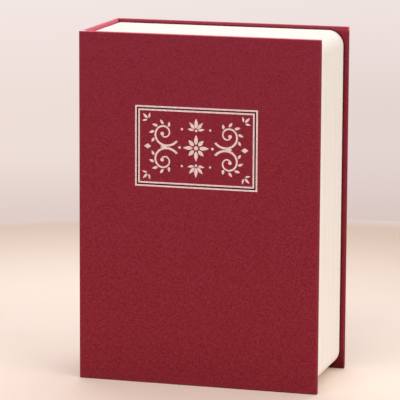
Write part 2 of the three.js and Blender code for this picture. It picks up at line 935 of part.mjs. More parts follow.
function camWasher() {
  const y0 = camBackY + weldGap;
  const outer = circle(lockX, middleZ, camWasherRadius, knuckleRound);
  const bore = circle(lockX, middleZ, screwHole, knuckleRound);
  return plate(outer, y0, y0 + camWasherThickness, [bore]);
}

function camScrew() {
  const reach = camScrewLength - rivetClearance;
  const geometry = screw(reach);
  geometry.rotateX(Math.PI);
  return onLockAxis(geometry, camScrewHeadY);
}

// Strike

const strikeRivetSeats = [
  { name: 'lower', y: strikeBackY + strikeLeg / 2, z: middleZ - strikeHeight / 2 + strikeRivetInset },
  { name: 'upper', y: strikeBackY + strikeLeg / 2, z: middleZ + strikeHeight / 2 - strikeRivetInset },
];

function strikePlate() {
  const wall = trayInner.right;
  const z0 = middleZ - strikeHeight / 2;
  const z1 = middleZ + strikeHeight / 2;
  const tip = wall - strikeReach;
  const shelf = plate(
    [
      new THREE.Vector2(wall, z0),
      new THREE.Vector2(wall, z1),
      new THREE.Vector2(tip + strikeChamfer, z1),
      new THREE.Vector2(tip, z1 - strikeChamfer),
      new THREE.Vector2(tip, z0 + strikeChamfer),
      new THREE.Vector2(tip + strikeChamfer, z0),
    ],
    strikeFrontY,
    strikeBackY,
  );
  const leg = block(wall - strikeSheet, wall, strikeFrontY, strikeBackY + strikeLeg, z0, z1);
  const holes = strikeRivetSeats.map((seat) => sideBore(wall - strikeSheet, wall, seat));
  return cut(shelf.add(leg), holes);
}

// Materials, from the photograph where it shows them

function material(color, roughness, metalness) {
  return new THREE.MeshStandardMaterial({ color, roughness, metalness });
}

const finishes = {
  cloth: material('#85262b', 0.85, 0),
  board: material('#8f8a80', 0.95, 0),
  paper: material('#f3ebdc', 0.9, 0),
  pages: material('#f1ded0', 0.6, 0),
  powderCoat: material('#1c1d1f', 0.55, 0.2),
  zinc: material('#a9abad', 0.4, 0.9),
  chrome: material('#d5d7da', 0.18, 1),
  brass: material('#b99a55', 0.35, 1),
};

// The assembly: four bodies, of which the front cover, the door and the lock plug turn

const book = new THREE.Group();
const coverGroup = new THREE.Group();
const doorGroup = new THREE.Group();
const lockGroup = new THREE.Group();
book.add(coverGroup);
book.add(doorGroup);
doorGroup.add(lockGroup);

function place(group, name, shape, finish) {
  const geometry = shape.isBufferGeometry ? shape : toGeometry(shape);
  const mesh = new THREE.Mesh(geometry, finishes[finish].clone());
  mesh.name = name;
  group.add(mesh);
}

place(book, 'back_board', coverBoard(backCover), 'board');
place(book, 'spine_board', spineBoard(), 'board');
place(book, 'case_cloth', caseCloth(), 'cloth');
place(book, 'back_pastedown', backPastedown(), 'paper');
place(book, 'spine_lining', spineLining(), 'paper');
place(book, 'page_block', pageBlock(), 'pages');
place(book, 'steel_tray', trayShell(), 'powderCoat');
place(book, 'door_stop', doorStop(), 'powderCoat');
place(book, 'strike', strikePlate(), 'zinc');
for (const seat of strikeRivetSeats) {
  place(book, `strike_rivet_${seat.name}`, strikeRivet(seat), 'zinc');
}
for (const seat of traySeats) {
  place(book, `tray_screw_${seat.name}`, trayScrew(seat), 'zinc');
}
for (const level of ['lower', 'upper']) {
  place(book, `hinge_box_leaf_${level}`, boxLeaf(level), 'powderCoat');
  place(book, `hinge_pin_${level}`, hingePin(level), 'zinc');
}
for (const seat of leafRivetSeats) {
  place(book, `box_leaf_rivet_${seat.name}`, leafRivet(seat), 'zinc');
}

place(coverGroup, 'front_board', coverBoard(frontCover), 'board');
place(coverGroup, 'front_cloth', coverCloth(frontCover), 'cloth');
place(coverGroup, 'front_pastedown', frontPastedown(), 'paper');

place(doorGroup, 'door_panel', doorPanel(), 'powderCoat');
for (const level of ['lower', 'upper']) {
  place(doorGroup, `hinge_door_leaf_${level}`, doorLeaf(level), 'powderCoat');
}
for (const seat of doorRivetSeats) {
  place(doorGroup, `door_rivet_${seat.name}`, doorRivet(seat), 'zinc');
}
place(doorGroup, 'lock_body', lockBody(), 'chrome');
place(doorGroup, 'lock_washer', lockWasher(), 'zinc');
place(doorGroup, 'lock_nut', lockNut(), 'zinc');

place(lockGroup, 'lock_plug', lockPlug(), 'brass');
place(lockGroup, 'lock_cam', lockCam(), 'zinc');
place(lockGroup, 'cam_washer', camWasher(), 'zinc');
place(lockGroup, 'cam_screw', camScrew(), 'zinc');

export default book;
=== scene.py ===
"""Looks of a book diversion safe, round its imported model. Metres, +Z up, front cover at -Y."""

import json
import math
import random

import bmesh
import bpy
from mathutils import Matrix, Vector


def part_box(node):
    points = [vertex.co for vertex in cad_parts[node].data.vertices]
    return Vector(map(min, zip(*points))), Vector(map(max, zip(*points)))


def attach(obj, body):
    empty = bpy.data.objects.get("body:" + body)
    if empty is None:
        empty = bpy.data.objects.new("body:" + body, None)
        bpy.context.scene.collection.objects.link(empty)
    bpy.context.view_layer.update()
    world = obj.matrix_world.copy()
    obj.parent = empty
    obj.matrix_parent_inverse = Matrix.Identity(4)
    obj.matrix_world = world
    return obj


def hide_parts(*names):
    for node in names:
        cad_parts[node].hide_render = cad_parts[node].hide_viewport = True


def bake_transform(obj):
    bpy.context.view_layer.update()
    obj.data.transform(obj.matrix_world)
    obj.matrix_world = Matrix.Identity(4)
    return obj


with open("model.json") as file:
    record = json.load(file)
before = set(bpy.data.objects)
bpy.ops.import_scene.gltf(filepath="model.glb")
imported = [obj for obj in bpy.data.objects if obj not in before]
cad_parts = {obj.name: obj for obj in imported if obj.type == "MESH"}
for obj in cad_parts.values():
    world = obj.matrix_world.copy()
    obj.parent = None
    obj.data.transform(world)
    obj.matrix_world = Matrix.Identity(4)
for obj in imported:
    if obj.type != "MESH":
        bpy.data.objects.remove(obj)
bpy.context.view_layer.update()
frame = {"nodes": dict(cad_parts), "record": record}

MM = 0.001

# Sizes of what is added here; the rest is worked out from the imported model

board_edge_radius = 0.6 * MM
board_edge_steps = 5
joint_cloth = 0.35 * MM
joint_crease = 0.1 * MM
joint_steps = 16

leaf_pitch = 0.5 * MM
leaf_groove = 0.1 * MM
leaf_groove_spread = 0.1 * MM
section_leaves = 9
section_groove = 0.3 * MM
smooth_band = 0.8 * MM
leaf_unevenness = 0.04 * MM
leaf_seed = 4
page_corner_radius = 8 * MM
page_corner_steps = 14
page_core_inset = 0.5 * MM
foot_height = 0.6 * MM
foot_depth = 0.8 * MM
foot_slope = 0.15 * MM
tray_clearance = 0.3 * MM
tray_bend = 2 * MM
tray_bend_steps = 8
rim_depth = 1.5 * MM

turn_in = 14 * MM
turn_in_dip = 0.16 * MM
turn_in_slope = 1.2 * MM
sheet_step = 6 * MM

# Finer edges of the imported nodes, and what is merged, spared or taken for equal on the way
node_edge = 0.12 * MM
node_edge_segments = 2
sharp_degrees = 40
flat_degrees = 0.5
weld_distance = 0.002 * MM
cut_spare = 1 * MM
near = 0.01 * MM

# A face looks along an axis where that part of its normal is above this
along_axis = 0.7

# Book cloth: pitch of its threads in millimetres, and what stays of its colour under the deepest
# painted shade
weave_pitch = 0.42
thread_bend = 0.3
cloth_shade = 0.3
cloth_contrast = (0.33, 0.67)
# Cool tint: random clouds of tone, plus painted cool light that grows towards the top
cool_tone_and_light_share = (0.6, 1.2, 0.0, 0.34)
cloth_sheen = 0.14
# Painted shade in the pits of the weave, and painted light on its thread tops
weave_shade = (0.84, 1.08)
weave_depth = 0.07 * MM

# Painted highlight and a little edge wear on the cloth: reaches in millimetres, and shares of 0 for
# none, 0.5 for bright and 1 for pale
corner_reach = (0.2, 1.6)
corner_rub = 0.07
rim_reach = (0.1, 2.3)
head_highlight_inward = 0.5
spine_reach = (2.0, 5.0)
head_highlight_off_spine = 0.62
head_reach = (3.0, 1.6)
outer_faces = (30.2, 30.5)
spine_wall = (0.4, 0.8)
inside_spine_light = (0.12, 0.4)
patchy_highlight_and_wear = (0.3, 0.7, 0.85, 1.0)

# Painted shade on the cloth, in millimetres and shares: beside the page block and towards the tail
# inside the back cover, along the tail and under it
shade_beside_pages = (0.1, 1.0, 0.85, 0.0)
shade_towards_tail_inside = (0.0, 14.0, 0.75, 0.0)
tail_shade_height = (0.0, 30.0, 0.94, 1.0)
under_shade_facing = (-0.6, -0.05, 0.3, 1.0)

# Noises, each as its scale per millimetre, detail and roughness
wobble_noise = (0.9, 2.0)
thread_noise = (0.55, 2.0, 0.5)
mottle_noise = (1.15, 4.0, 0.7)
cloud_noise = (0.16, 3.0, 0.6)
highlight_wear_noise = (0.6, 3.0)
foil_noise = (2.6, 3.0, 0.6)
foil_patch_noise = (0.5, 3.0, 0.6)
leaf_noise = (3.1, 4.0, 0.7)
section_noise = (1.1, 3.0, 0.6)
page_dust_noise = (0.25, 4.0, 0.6)
page_noise = (2.0, 3.0)
paper_noise = (3.5, 5.0, 0.65)
paper_cloud_noise = (0.12, 4.0)
board_noise = (1.8, 6.0, 0.7)
peel_noise = (1.3, 3.0, 0.5)
grit_noise = (5.0, 2.0)
coat_dust_noise = (0.08, 5.0, 0.6)
scratch_noise = (1.4, 4.0, 0.7)
smudge_noise = (0.35, 4.0, 0.6)
ring_noise = (7.0, 3.0, 0.7)
stain_noise = (0.6, 4.0)
table_noise = (0.02, 4.0)
spangle_scale = 0.7
scratch_stretch = (6.0, 0.7, 0.7)

# The title frame on the front cover, of two rules, and the ornament in it
frame_middle_x = -1.05 * MM
frame_middle_z = 122.85 * MM
frame_width = 64.1 * MM
frame_height = 41.3 * MM
rule_width = 0.85 * MM
rule_step = 1.65 * MM
stamp_depth = 0.07 * MM
foil_below = 0.02 * MM

# The photographer's camera
camera_place = Vector((0.3895, -1.3794, 0.3458))
camera_yaw = math.radians(16.065)
camera_pitch = math.radians(10.071)
camera_roll = math.radians(0.29)
camera_angle = math.radians(8.094)

# Table, with a painted light falloff
table_reach = 0.452
table_fade = 0.03
falloff_start = 0.18
falloff_lean = 0.06
table_steps = 96

# Light, each lamp as its place, size and power
sky_strength = 0.56
lamp_aim = (0, 0, 0.09)
key_lamp = ((-0.3, -1.4, 1.1), 1.8, 11.8)
fill_lamp = ((1.6, -0.7, 0.8), 2.0, 12.7)
back_lamp = ((-0.1, 0.7, 1.5), 1.2, 9.5)

# Colours, as sRGB from 0 to 255
cloth_dark = (104, 17, 29)
cloth_light = (151, 44, 55)
# Painted highlight colours of the cloth, bright at the head and pale at its rim; the bright one
# also takes a little edge wear
cloth_wear_and_highlight = (232, 118, 134)
cloth_pale_highlight = (255, 232, 244)
# Cool tint of the cloth, in part random tone and in part painted cool light at the top
cloth_cool_tone_and_light = (136, 44, 72)
cloth_sheen_tint = (255, 195, 200)
foil_silver = (255, 240, 240)
foil_worn = (190, 156, 154)
page_cream = (255, 250, 243)
# Painted shade between the page leaves
page_painted_shade = (238, 222, 207)
paper_white = (247, 240, 226)
paper_aged = (240, 228, 208)
paper_fibre = (186, 168, 140)
greyboard = (142, 137, 126)
greyboard_dark = (120, 115, 104)
coat_black = (30, 31, 33)
coat_dusty = (74, 74, 74)
zinc_grey = (190, 193, 197)
zinc_dark = (168, 172, 178)
chrome_grey = (214, 216, 219)
chrome_smudged = (198, 201, 206)
brass_yellow = (205, 172, 104)
brass_stained = (168, 132, 74)
table_colour = (253, 235, 222)
table_grain = (250, 231, 217)
# Painted light falloff on the table
table_painted_falloff = (212, 189, 171)
table_rim = (221, 202, 196)
# The wall's colours are painted light and shade on the backdrop
wall_left = (238, 222, 216)
wall_right = (226, 210, 206)
wall_high = (245, 234, 232)
wall_low = (202, 180, 174)
lamp_white = (255, 252, 250)
lamp_cool = (242, 247, 255)


def linear(colour):
    """A colour in sRGB from 0 to 255 as linear RGBA."""
    def channel(value):
        share = value / 255
        if share <= 0.04045:
            return share / 12.92
        return ((share + 0.055) / 1.055) ** 2.4
    return (*[channel(value) for value in colour], 1.0)


# Mesh helpers


def add_object(name, mesh):
    piece = bpy.data.objects.new(name, mesh)
    bpy.context.scene.collection.objects.link(piece)
    return piece


def mesh_object(name, vertices, faces):
    mesh = bpy.data.meshes.new(name)
    mesh.from_pydata([tuple(v) for v in vertices], [], faces)
    mesh.update()
    return add_object(name, mesh)


def shade(piece, degrees):
    piece.data.shade_smooth()
    piece.data.set_sharp_from_angle(angle=math.radians(degrees))


def smooth(piece, degrees=35):
    shade(piece, degrees)
    weighted = piece.modifiers.new("weighted", "WEIGHTED_NORMAL")
    weighted.keep_sharp = True


def slab(name, low, high, radius, stays_square=None):
    """A box with rounded edges; stays_square says by an edge's middle whether it stays sharp."""
    shape = bmesh.new()
    size = Vector(high) - Vector(low)
    middle = (Vector(high) + Vector(low)) / 2
    to_box = Matrix.Translation(middle) @ Matrix.Diagonal((*size, 1))
    bmesh.ops.create_cube(shape, size=1, matrix=to_box)
    if radius:
        edges = []
        for edge in shape.edges:
            place = (edge.verts[0].co + edge.verts[1].co) / 2
            if stays_square is None or not stays_square(place):
                edges.append(edge)
        bmesh.ops.bevel(
            shape, geom=edges, offset=radius, segments=board_edge_steps, profile=0.5, affect="EDGES"
        )
    mesh = bpy.data.meshes.new(name)
    shape.to_mesh(mesh)
    shape.free()
    return add_object(name, mesh)


def combine(target, operation, others, overlapping=False):
    """Joins others to the target, or cuts them from it, and removes them."""
    for other in others:
        modifier = target.modifiers.new(other.name, "BOOLEAN")
        modifier.operation = operation
        modifier.solver = "EXACT" if overlapping else "MANIFOLD"
        modifier.use_self = overlapping
        modifier.object = other
    graph = bpy.context.evaluated_depsgraph_get()
    mesh = bpy.data.meshes.new_from_object(target.evaluated_get(graph))
    mesh.materials.clear()
    target.modifiers.clear()
    target.data = mesh
    for other in others:
        bpy.data.objects.remove(other)
    return target


def relief_sheet(name, xs, zs, top, bottom):
    """A closed sheet over a grid in X and Z, between two surfaces that give Y."""
    columns, rows = len(xs), len(zs)
    vertices = [(x, top(x, z), z) for z in zs for x in xs]
    vertices += [(x, bottom(x, z), z) for z in zs for x in xs]
    under = columns * rows
    faces = []
    for j in range(rows - 1):
        for i in range(columns - 1):
            a = j * columns + i
            b = a + 1
            c = b + columns
            d = a + columns
            faces.append((a, b, c, d))
            faces.append((a + under, d + under, c + under, b + under))
    rim = list(range(columns))
    rim += [j * columns + columns - 1 for j in range(1, rows)]
    rim += [(rows - 1) * columns + i for i in range(columns - 2, -1, -1)]
    rim += [j * columns for j in range(rows - 2, 0, -1)]
    for here, there in zip(rim, rim[1:] + rim[:1]):
        faces.append((there, here, here + under, there + under))
    sheet = mesh_object(name, vertices, faces)
    outward(sheet)
    return sheet


def outward(piece):
    shape = bmesh.new()
    shape.from_mesh(piece.data)
    bmesh.ops.recalc_face_normals(shape, faces=shape.faces)
    shape.to_mesh(piece.data)
    shape.free()


def weld(piece):
    shape = bmesh.new()
    shape.from_mesh(piece.data)
    bmesh.ops.remove_doubles(shape, verts=shape.verts, dist=weld_distance)
    shape.to_mesh(piece.data)
    shape.free()


def lofted(name, rings):
    """A closed skin through rings of points that have the same count."""
    count = len(rings[0])
    vertices = [point for ring in rings for point in ring]
    faces = [tuple(range(count)), tuple(range(len(vertices) - 1, len(vertices) - count - 1, -1))]
    for r in range(len(rings) - 1):
        for i in range(count):
            a = r * count + i
            b = r * count + (i + 1) % count
            faces.append((a, b, b + count, a + count))
    piece = mesh_object(name, vertices, faces)
    outward(piece)
    return piece


def spaced(low, high, step):
    """Even places from low to high, about a step apart."""
    count = max(1, round((high - low) / step))
    return [low + (high - low) * i / count for i in range(count + 1)]


def graded(low, high, step, marks, fine):
    """Even places from low to high, with fine ones round the marks."""
    places = set(round(value, 7) for value in spaced(low, high, step))
    for mark in marks:
        for i in range(-4, 5):
            place = mark + fine * i / 4
            if low < place < high:
                places.add(round(place, 7))
    return sorted(places)


def ramp(value, start, end):
    share = min(max((value - start) / (end - start), 0), 1)
    return share * share * (3 - 2 * share)


# Materials


class Tree:
    """The nodes of a material or a world, with short calls for those that are needed."""

    def __init__(self, owner):
        owner.use_nodes = True
        self.nodes = owner.node_tree.nodes
        self.links = owner.node_tree.links
        self.coordinates = self.nodes.new("ShaderNodeTexCoord").outputs

    def feed(self, socket, value):
        if isinstance(value, bpy.types.NodeSocket):
            self.links.new(value, socket)
        else:
            socket.default_value = value

    def vector(self, operation, first, second=None, scale=None):
        node = self.nodes.new("ShaderNodeVectorMath")
        node.operation = operation
        self.feed(node.inputs[0], first)
        if second is not None:
            self.feed(node.inputs[1], second)
        if scale is not None:
            self.feed(node.inputs["Scale"], scale)
        return node.outputs["Value" if operation == "DOT_PRODUCT" else "Vector"]

    def split(self, vector):
        node = self.nodes.new("ShaderNodeSeparateXYZ")
        self.feed(node.inputs[0], vector)
        return node.outputs

    def join(self, x, y, z):
        node = self.nodes.new("ShaderNodeCombineXYZ")
        for socket, value in zip(node.inputs, (x, y, z)):
            self.feed(socket, value)
        return node.outputs[0]

    def math(self, operation, first, second=None, third=None):
        node = self.nodes.new("ShaderNodeMath")
        node.operation = operation
        for socket, value in zip(node.inputs, (first, second, third)):
            if value is not None:
                self.feed(socket, value)
        return node.outputs[0]

    def times(self, *values):
        """The product of two or more numbers."""
        product = values[0]
        for value in values[1:]:
            product = self.math("MULTIPLY", product, value)
        return product

    def noise(self, vector, scale, detail=2.0, roughness=0.5):
        node = self.nodes.new("ShaderNodeTexNoise")
        self.feed(node.inputs["Vector"], vector)
        node.inputs["Scale"].default_value = scale
        node.inputs["Detail"].default_value = detail
        node.inputs["Roughness"].default_value = roughness
        return node.outputs["Fac"]

    def cells(self, vector, scale):
        node = self.nodes.new("ShaderNodeTexVoronoi")
        self.feed(node.inputs["Vector"], vector)
        node.inputs["Scale"].default_value = scale
        return node.outputs

    def remap(self, value, low, high, new_low=0.0, new_high=1.0):
        node = self.nodes.new("ShaderNodeMapRange")
        node.interpolation_type = "SMOOTHSTEP"
        self.feed(node.inputs["Value"], value)
        node.inputs["From Min"].default_value = low
        node.inputs["From Max"].default_value = high
        node.inputs["To Min"].default_value = new_low
        node.inputs["To Max"].default_value = new_high
        return node.outputs["Result"]

    def blend(self, share, first, second):
        """Between two colours, each a socket or an sRGB triple."""
        node = self.nodes.new("ShaderNodeMix")
        node.data_type = "RGBA"
        self.feed(node.inputs["Factor"], share)
        for socket, colour in zip((node.inputs["A"], node.inputs["B"]), (first, second)):
            self.feed(socket, linear(colour) if isinstance(colour, tuple) else colour)
        return node.outputs["Result"]

    def between(self, share, first, second):
        """Between two numbers, each a socket or a plain value."""
        node = self.nodes.new("ShaderNodeMix")
        node.data_type = "FLOAT"
        self.feed(node.inputs["Factor"], share)
        self.feed(node.inputs["A"], first)
        self.feed(node.inputs["B"], second)
        return node.outputs["Result"]

    def bump(self, height, distance):
        """Height is in the range 0 to 1 and distance its depth in metres."""
        node = self.nodes.new("ShaderNodeBump")
        node.inputs["Distance"].default_value = distance
        self.feed(node.inputs["Height"], height)
        return node.outputs["Normal"]


class Shader(Tree):
    """A node material: place is in millimetres, and facing is the way that a face looks."""

    def __init__(self, name):
        self.material = bpy.data.materials.new(name)
        super().__init__(self.material)
        self.surface = self.nodes["Principled BSDF"]
        self.place = self.vector("SCALE", self.coordinates["Object"], scale=1 / MM)
        self.facing = self.coordinates["Normal"]

    def finish(self, **inputs):
        for name, value in inputs.items():
            self.feed(self.surface.inputs[name.replace("_", " ")], value)
        return self.material


def flat_places(shader):
    """The two coordinates that run along a face, by which way it faces, in millimetres."""
    x, y, z = shader.split(shader.place)[:3]
    turn = shader.vector("ABSOLUTE", shader.facing)
    side, _, top = shader.split(turn)[:3]
    on_side = shader.math("GREATER_THAN", side, along_axis)
    on_top = shader.math("GREATER_THAN", top, along_axis)
    across = shader.between(on_side, x, y)
    along = shader.between(on_top, z, y)
    return across, along


def faces_front(shader):
    """Where a face looks towards the front, from 0 to 1."""
    return shader.remap(shader.split(shader.facing)[1], -0.95, -0.8, 1.0, 0.0)


def plain_weave(shader, across, along):
    """Height of a weave in which each thread is a rounded ridge that dives under every second
    crossing, and where the upright threads are on top."""
    turn = math.pi / weave_pitch
    upright = shader.math("SINE", shader.times(across, turn))
    lying = shader.math("SINE", shader.times(along, turn))
    over = shader.math("MULTIPLY_ADD", shader.times(upright, lying), 0.5, 0.5)
    under = shader.math("SUBTRACT", 1.0, over)
    upright_height = shader.times(shader.math("ABSOLUTE", upright), over)
    lying_height = shader.times(shader.math("ABSOLUTE", lying), under)
    return shader.math("MAXIMUM", upright_height, lying_height), over


def thread_tone(shader, across, along, seed):
    """Each thread has a tone of its own, which changes slowly along it."""
    thread = shader.math("FLOOR", shader.math("DIVIDE", across, weave_pitch))
    apart = 3.7
    return shader.noise(shader.join(shader.times(thread, apart), along, seed), *thread_noise)


def cloth_pattern(shader):
    """Height of the weave, tone of its threads and mottle of the book cloth, from 0 to 1."""
    across, along = flat_places(shader)
    flat = shader.join(across, along, 0.0)
    wobble = shader.noise(flat, *wobble_noise)
    across_bent = shader.math("MULTIPLY_ADD", wobble, thread_bend, across)
    along_bent = shader.math("MULTIPLY_ADD", wobble, -thread_bend, along)
    weave, over = plain_weave(shader, across_bent, along_bent)
    upright_tone = thread_tone(shader, across_bent, along_bent, 0.0)
    lying_tone = thread_tone(shader, along_bent, across_bent, 9.0)
    threads = shader.between(shader.remap(over, 0.4, 0.6), lying_tone, upright_tone)
    mottle = shader.noise(flat, *mottle_noise)
    return weave, threads, mottle


def inward(shader, low, high):
    """How far a place is from the nearer end of a box along each axis, in millimetres."""
    away = []
    for value, start, end in zip(shader.split(shader.place)[:3], low, high):
        first = shader.math("ABSOLUTE", shader.math("SUBTRACT", value, start / MM))
        last = shader.math("ABSOLUTE", shader.math("SUBTRACT", value, end / MM))
        away.append(shader.math("MINIMUM", first, last))
    return away


def highlight_and_edge_wear(shader, low, high):
    """Painted highlight and some wear on the cloth: a painted highlight on up-facing faces at the
    head of the boards, palest at the rim and on the spine, a little wear along their other edges,
    and painted light on the spine's inner face above the pages."""
    x, y, z = shader.split(shader.place)[:3]
    away = inward(shader, low, high)
    rise = shader.split(shader.facing)[2]
    side = shader.split(shader.vector("ABSOLUTE", shader.facing))[0]
    on_side = shader.math("GREATER_THAN", side, along_axis)
    across = shader.between(on_side, away[0], away[1])
    beside = shader.remap(shader.math("MINIMUM", across, away[2]), *corner_reach, corner_rub, 0.0)
    outer = shader.remap(shader.math("MINIMUM", away[0], away[1]), *rim_reach, 1.0, head_highlight_inward)
    spine_ends = [low.x / MM + reach for reach in spine_reach]
    near_spine = shader.remap(x, *spine_ends, 1.0, head_highlight_off_spine)
    lit_head = shader.times(outer, near_spine, shader.remap(rise, 0.4, 0.95))
    head = shader.remap(z, *[high.z / MM - reach for reach in head_reach])
    inner_y = shader.remap(shader.math("ABSOLUTE", y), *outer_faces, 1.0, 0.0)
    inner_x = shader.remap(x, *[low.x / MM + reach for reach in spine_wall])
    lit_inside_spine = shader.times(inner_x, inner_y, head, shader.remap(side, 0.3, 0.8, *inside_spine_light))
    patches = shader.remap(shader.noise(shader.place, *highlight_wear_noise), *patchy_highlight_and_wear)
    highlight_and_wear = shader.math("MAXIMUM", shader.math("MAXIMUM", beside, lit_head), lit_inside_spine)
    return shader.times(highlight_and_wear, patches)


def box_distance(shader, middle, half, radius=0.0):
    """Millimetres to a box with round corners in X and Z, negative inside it."""
    x, _, z = shader.split(shader.place)[:3]
    reach = []
    for value, centre, size in ((x, middle[0], half[0]), (z, middle[1], half[1])):
        away = shader.math("ABSOLUTE", shader.math("SUBTRACT", value, centre / MM))
        reach.append(shader.math("SUBTRACT", away, (size - radius) / MM))
    if not radius:
        return shader.math("MAXIMUM", *reach)
    outside = [shader.math("MAXIMUM", part, 0.0) for part in reach]
    squares = [shader.times(part, part) for part in outside]
    length = shader.math("SQRT", shader.math("ADD", *squares))
    return shader.math("SUBTRACT", length, radius / MM)


def pressed_and_shaded_band(shader):
    """The cloth between the two rules of the title frame is pressed flat, and darkened with painted
    shade as of a recess.
    """
    middle = (frame_middle_x, frame_middle_z)
    distance = box_distance(shader, middle, (frame_width / 2, frame_height / 2))
    inner = -(rule_step + rule_width) / MM
    soft = 0.1
    past_inner = shader.remap(distance, inner - soft, inner)
    before_outer = shader.remap(distance, 0.0, soft, 1.0, 0.0)
    return shader.times(past_inner, before_outer, faces_front(shader))


def painted_shade_by_pages(shader):
    """Painted shade inside the back cover, along the page block and towards the tail."""
    low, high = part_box("page_block")
    middle = ((low.x + high.x) / 2, (low.z + high.z) / 2)
    half = ((high.x - low.x) / 2, (high.z - low.z) / 2)
    distance = box_distance(shader, middle, half, page_corner_radius)
    beside = shader.remap(distance, *shade_beside_pages)
    tail = shader.remap(shader.split(shader.place)[2], *shade_towards_tail_inside)
    return shader.times(shader.math("MAXIMUM", beside, tail), faces_front(shader))


def tail_shade(shader):
    """Painted shade: a little darker towards the tail, and most of all under it."""
    outside = shader.remap(shader.split(shader.place)[2], *tail_shade_height)
    under = shader.remap(shader.split(shader.facing)[2], *under_shade_facing)
    return shader.times(outside, under)


def cloth_material(name, low, high, painted_shade):
    """The last argument gives the share of painted shade by which a place is darkened, from 0 to 1.
    """
    shader = Shader(name)
    weave, threads, mottle = cloth_pattern(shader)
    uneven = shader.math("MULTIPLY_ADD", threads, 0.5, shader.times(mottle, 0.5))
    body = shader.blend(shader.remap(uneven, *cloth_contrast), cloth_dark, cloth_light)
    clouds = shader.noise(shader.place, *cloud_noise)
    # Cool tint: random clouds plus painted cool light, rising towards the top
    cool_share = shader.math("MULTIPLY_ADD", shader.split(shader.place)[2], 0.5 * MM / high.z, clouds)
    body = shader.blend(shader.remap(cool_share, *cool_tone_and_light_share), body, cloth_cool_tone_and_light)
    # Painted highlight on the head, painted light inside the spine, and a little edge wear
    highlight_wear_share = highlight_and_edge_wear(shader, low, high)
    body = shader.blend(shader.remap(highlight_wear_share, 0.0, 0.5), body, cloth_wear_and_highlight)
    highlighted = shader.blend(shader.remap(highlight_wear_share, 0.5, 1.0), body, cloth_pale_highlight)
    # Painted shade in the weave's pits and painted light on its thread tops
    thread_shade = shader.between(shader.remap(weave, 0.0, 0.8), *weave_shade)
    # Painted shade from the last argument darkens the colour towards cloth_shade
    kept = shader.between(painted_shade(shader), thread_shade, cloth_shade)
    # Painted shade towards the tail and under the boards
    kept = shader.times(kept, tail_shade(shader))
    height = shader.math("MULTIPLY_ADD", uneven, 0.8, weave)
    return shader.finish(
        Base_Color=shader.vector("SCALE", highlighted, scale=kept),
        Roughness=shader.between(threads, 0.7, 0.9),
        Specular_IOR_Level=0.12,
        Sheen_Weight=cloth_sheen,
        Sheen_Roughness=0.35,
        Sheen_Tint=linear(cloth_sheen_tint),
        Normal=shader.bump(height, weave_depth),
    )


def foil_material():
    """Silver foil: thin over the threads, gone in the pits between them here and there."""
    shader = Shader("foil")
    across, along = flat_places(shader)
    flat = shader.join(across, along, 0.0)
    weave, _ = plain_weave(shader, across, along)
    grain = shader.noise(flat, *foil_noise)
    patches = shader.noise(flat, *foil_patch_noise)
    uneven = shader.math("MULTIPLY_ADD", patches, 0.4, grain)
    pits = shader.math("MULTIPLY_ADD", weave, -0.35, uneven)
    missing = shader.remap(pits, 0.66, 0.76, 0.0, 0.9)
    tone = shader.blend(shader.remap(grain, 0.35, 0.65), foil_worn, foil_silver)
    return shader.finish(
        Base_Color=shader.blend(missing, tone, cloth_dark),
        Metallic=shader.between(missing, 0.85, 0.0),
        Roughness=shader.between(patches, 0.22, 0.5),
        Normal=shader.bump(weave, 0.05 * MM),
    )


def pages_material():
    """Cream plastic with painted shade between the leaves and their sections, and a little dust."""
    shader = Shader("pages")
    _, y, _ = shader.split(shader.place)[:3]
    turn = shader.vector("ABSOLUTE", shader.facing)
    _, front, _ = shader.split(turn)[:3]
    on_edge = shader.math("LESS_THAN", front, 0.85)
    fine = shader.noise(shader.join(0.0, y, 0.0), *leaf_noise)
    sections = shader.noise(shader.join(0.0, y, 4.0), *section_noise)
    lines = shader.math("MULTIPLY_ADD", sections, 0.6, shader.times(fine, 0.4))
    dust = shader.noise(shader.place, *page_dust_noise)
    # Painted shade between the leaves on the page edges
    shade_between_leaves = shader.times(on_edge, shader.remap(lines, 0.38, 0.6, 0.55, 0.0))
    shade_and_dust = shader.math("MAXIMUM", shade_between_leaves, shader.remap(dust, 0.6, 0.8, 0.0, 0.3))
    grain = shader.noise(shader.place, *page_noise)
    return shader.finish(
        Base_Color=shader.blend(shade_and_dust, page_cream, page_painted_shade),
        Roughness=shader.between(grain, 0.5, 0.7),
        Specular_IOR_Level=0.3,
        Normal=shader.bump(grain, 0.015 * MM),
    )


def paper_material():
    shader = Shader("paper")
    fibres = shader.noise(shader.place, *paper_noise)
    clouds = shader.noise(shader.place, *paper_cloud_noise)
    tone = shader.blend(shader.remap(clouds, 0.3, 0.75, 0.0, 0.4), paper_white, paper_aged)
    speck = shader.remap(fibres, 0.66, 0.74, 0.0, 0.25)
    return shader.finish(
        Base_Color=shader.blend(speck, tone, paper_fibre),
        Roughness=0.85,
        Specular_IOR_Level=0.2,
        Normal=shader.bump(fibres, 0.02 * MM),
    )


def board_material():
    shader = Shader("board")
    fibres = shader.noise(shader.place, *board_noise)
    return shader.finish(
        Base_Color=shader.blend(shader.remap(fibres, 0.3, 0.7), greyboard_dark, greyboard),
        Roughness=0.95,
        Normal=shader.bump(fibres, 0.06 * MM),
    )


def coat_material():
    shader = Shader("powder_coat")
    peel = shader.remap(shader.noise(shader.place, *peel_noise), 0.35, 0.65)
    grit = shader.noise(shader.place, *grit_noise)
    height = shader.math("MULTIPLY_ADD", grit, 0.3, peel)
    dust = shader.remap(shader.noise(shader.place, *coat_dust_noise), 0.5, 0.8, 0.0, 0.22)
    return shader.finish(
        Base_Color=shader.blend(dust, coat_black, coat_dusty),
        Roughness=shader.between(peel, 0.34, 0.56),
        Specular_IOR_Level=0.5,
        Normal=shader.bump(height, 0.09 * MM),
    )


